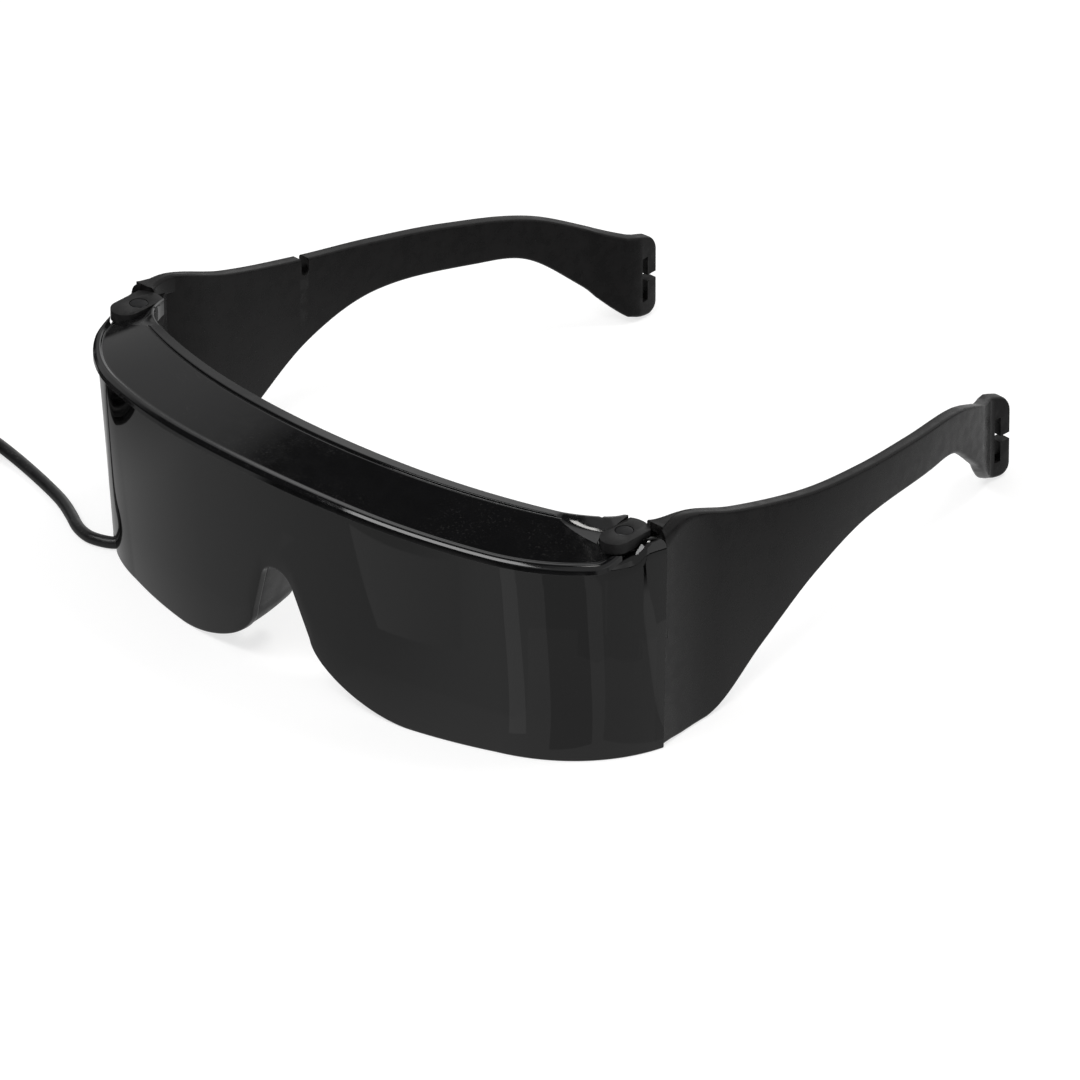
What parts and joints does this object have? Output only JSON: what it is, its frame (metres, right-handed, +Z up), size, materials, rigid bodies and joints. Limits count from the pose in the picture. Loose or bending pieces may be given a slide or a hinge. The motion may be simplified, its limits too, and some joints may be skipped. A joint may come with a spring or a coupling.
{
  "type": "stereoscopic glasses",
  "caption": "Wrap-around shutter glasses with a smoked visor over liquid-crystal cells, deep folding temples with strap slots, and a thin lead with a jack plug.",
  "frame": {"origin": "on the table below the middle of the glasses' own box, lead excluded", "axes": "+X towards the wearer's left, -Y towards the front, +Z up"},
  "size_m": [0.2877, 0.1934, 0.058],
  "materials": {
    "brow": "glossy black moulding",
    "visor": "smoked, nearly opaque, polished",
    "saddle": "satin",
    "carrier": "satin",
    "hinge": "satin",
    "pin": "blackened, satin",
    "washer": "natural nylon",
    "temple": "satin with a faint mottle",
    "cell": "polished",
    "film": "polarising film",
    "gasket": "matte",
    "window": "clear",
    "flex": "polyimide with printed copper",
    "board": "solder mask",
    "chip": "moulded",
    "capacitor": "brushed",
    "socket": "moulded",
    "screw": "zinc plated",
    "lead": "soft satin sheath",
    "relief": "matte",
    "tie": "matte",
    "plug": "moulded, satin",
    "contact": "gold plated",
    "insulator": "moulded"
  },
  "bodies": {
    "front": {"brow_cover": "brow", "visor": "visor", "nose_saddle": "saddle", "carrier_frame": "carrier", "hinge_bracket_left": "hinge", "hinge_bracket_right": "hinge", "hinge_pin_left": "pin", "hinge_pin_right": "pin", "hinge_washers_left": "washer", "hinge_washers_right": "washer", "shutter_cell_left": "cell", "shutter_cell_right": "cell", "front_film_left": "film", "front_film_right": "film", "rear_film_left": "film", "rear_film_right": "film", "cell_gasket_left": "gasket", "cell_gasket_right": "gasket", "rear_window_left": "window", "rear_window_right": "window", "flex_tail_left": "flex", "flex_tail_right": "flex", "driver_board": "board", "driver_chip": "chip", "board_capacitors": "capacitor", "lead_socket": "socket", "cover_screws": "screw", "inner_lead": "lead", "strain_relief": "relief", "cord_run": "lead", "cord_coil": "lead", "cord_tail": "lead", "coil_tie": "tie", "plug_sleeve": "plug", "plug_body": "plug", "plug_contacts": "contact", "plug_rings": "insulator"},
    "temple_left": {"temple_left": "temple"},
    "temple_right": {"temple_right": "temple"}
  },
  "joints": [
    {"name": "temple_left_fold", "type": "hinge", "parent": "front", "child": "temple_left", "pos_m": [0.072, -0.0537, 0.0385], "axis": [0, 0, 1], "range_deg": [0, 81]},
    {"name": "temple_right_fold", "type": "hinge", "parent": "front", "child": "temple_right", "pos_m": [-0.072, -0.0537, 0.0385], "axis": [0, 0, -1], "range_deg": [0, 66]}
  ]
}
